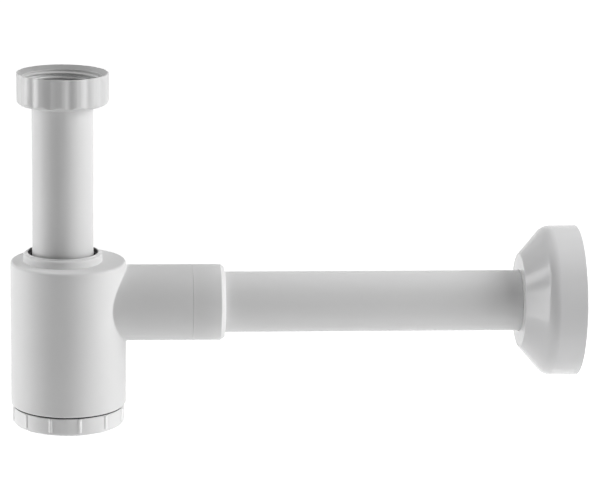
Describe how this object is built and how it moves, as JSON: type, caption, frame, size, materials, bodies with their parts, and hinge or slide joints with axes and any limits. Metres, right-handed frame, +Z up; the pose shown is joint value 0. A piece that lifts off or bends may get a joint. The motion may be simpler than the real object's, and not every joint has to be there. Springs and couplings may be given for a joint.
{
  "type": "basin bottle trap",
  "caption": "Bottle trap for a wash basin: inlet tube with union nut in an eccentric collar, screw-off clean-out cup, side branch and a wall tube with a sliding rosette.",
  "frame": {"origin": "on the inlet's axis, at the seat where the basin waste's end meets the flat washer", "axes": "+Z up along the inlet, out of the nut's thread; +X along the branch and the wall tube, to the wall; the trap's bottle hangs towards -Z"},
  "size_m": [0.2993, 0.0798, 0.1871],
  "materials": {
    "moulded_body": "satin white polypropylene",
    "tube_plastic": "satin white extruded polypropylene",
    "nut_plastic": "satin white polypropylene",
    "rosette_plastic": "semi-gloss white plastic",
    "seal_rubber": "matt black rubber"
  },
  "bodies": {
    "inlet_nut": {"inlet_nut": "nut_plastic"},
    "inlet_tube": {"inlet_tube": "tube_plastic", "inlet_washer": "seal_rubber"},
    "trap_body": {"trap_body": "moulded_body", "trap_branch": "moulded_body", "inlet_seal": "seal_rubber", "inlet_seal_ring": "moulded_body", "outlet_seal": "seal_rubber", "outlet_seal_sleeve": "moulded_body"},
    "outlet_pipe": {"outlet_pipe": "tube_plastic"},
    "wall_rosette": {"wall_rosette": "rosette_plastic"},
    "cup_seal": {"cup_seal": "seal_rubber"},
    "bottom_cup": {"bottom_cup": "nut_plastic"}
  },
  "joints": [
    {"name": "inlet_swivel", "type": "hinge", "parent": "inlet_nut", "child": "inlet_tube", "pos_m": [0, 0, 0], "axis": [0, 0, 1], "continuous": true},
    {"name": "height_slide", "type": "slide", "parent": "inlet_tube", "child": "trap_body", "axis": [0, 0, 1], "range_m": [-0.03, 0.005]},
    {"name": "pipe_slide", "type": "slide", "parent": "trap_body", "child": "outlet_pipe", "axis": [1, 0, 0], "range_m": [-0.003, 0.02]},
    {"name": "rosette_slide", "type": "slide", "parent": "outlet_pipe", "child": "wall_rosette", "axis": [1, 0, 0], "range_m": [-0.15, 0]},
    {"name": "cup_drop", "type": "slide", "parent": "trap_body", "child": "cup_seal", "axis": [0, 0, -1], "range_m": [0, 0.01201]},
    {"name": "cup_turn", "type": "hinge", "parent": "cup_seal", "child": "bottom_cup", "pos_m": [0.0028, 0, -0.17], "axis": [0, 0, -1], "range_deg": [0, 1440]}
  ],
  "couplings": [
    {"joint": "cup_drop", "follows": "cup_turn", "m_per_rad": 0.00047746}
  ]
}
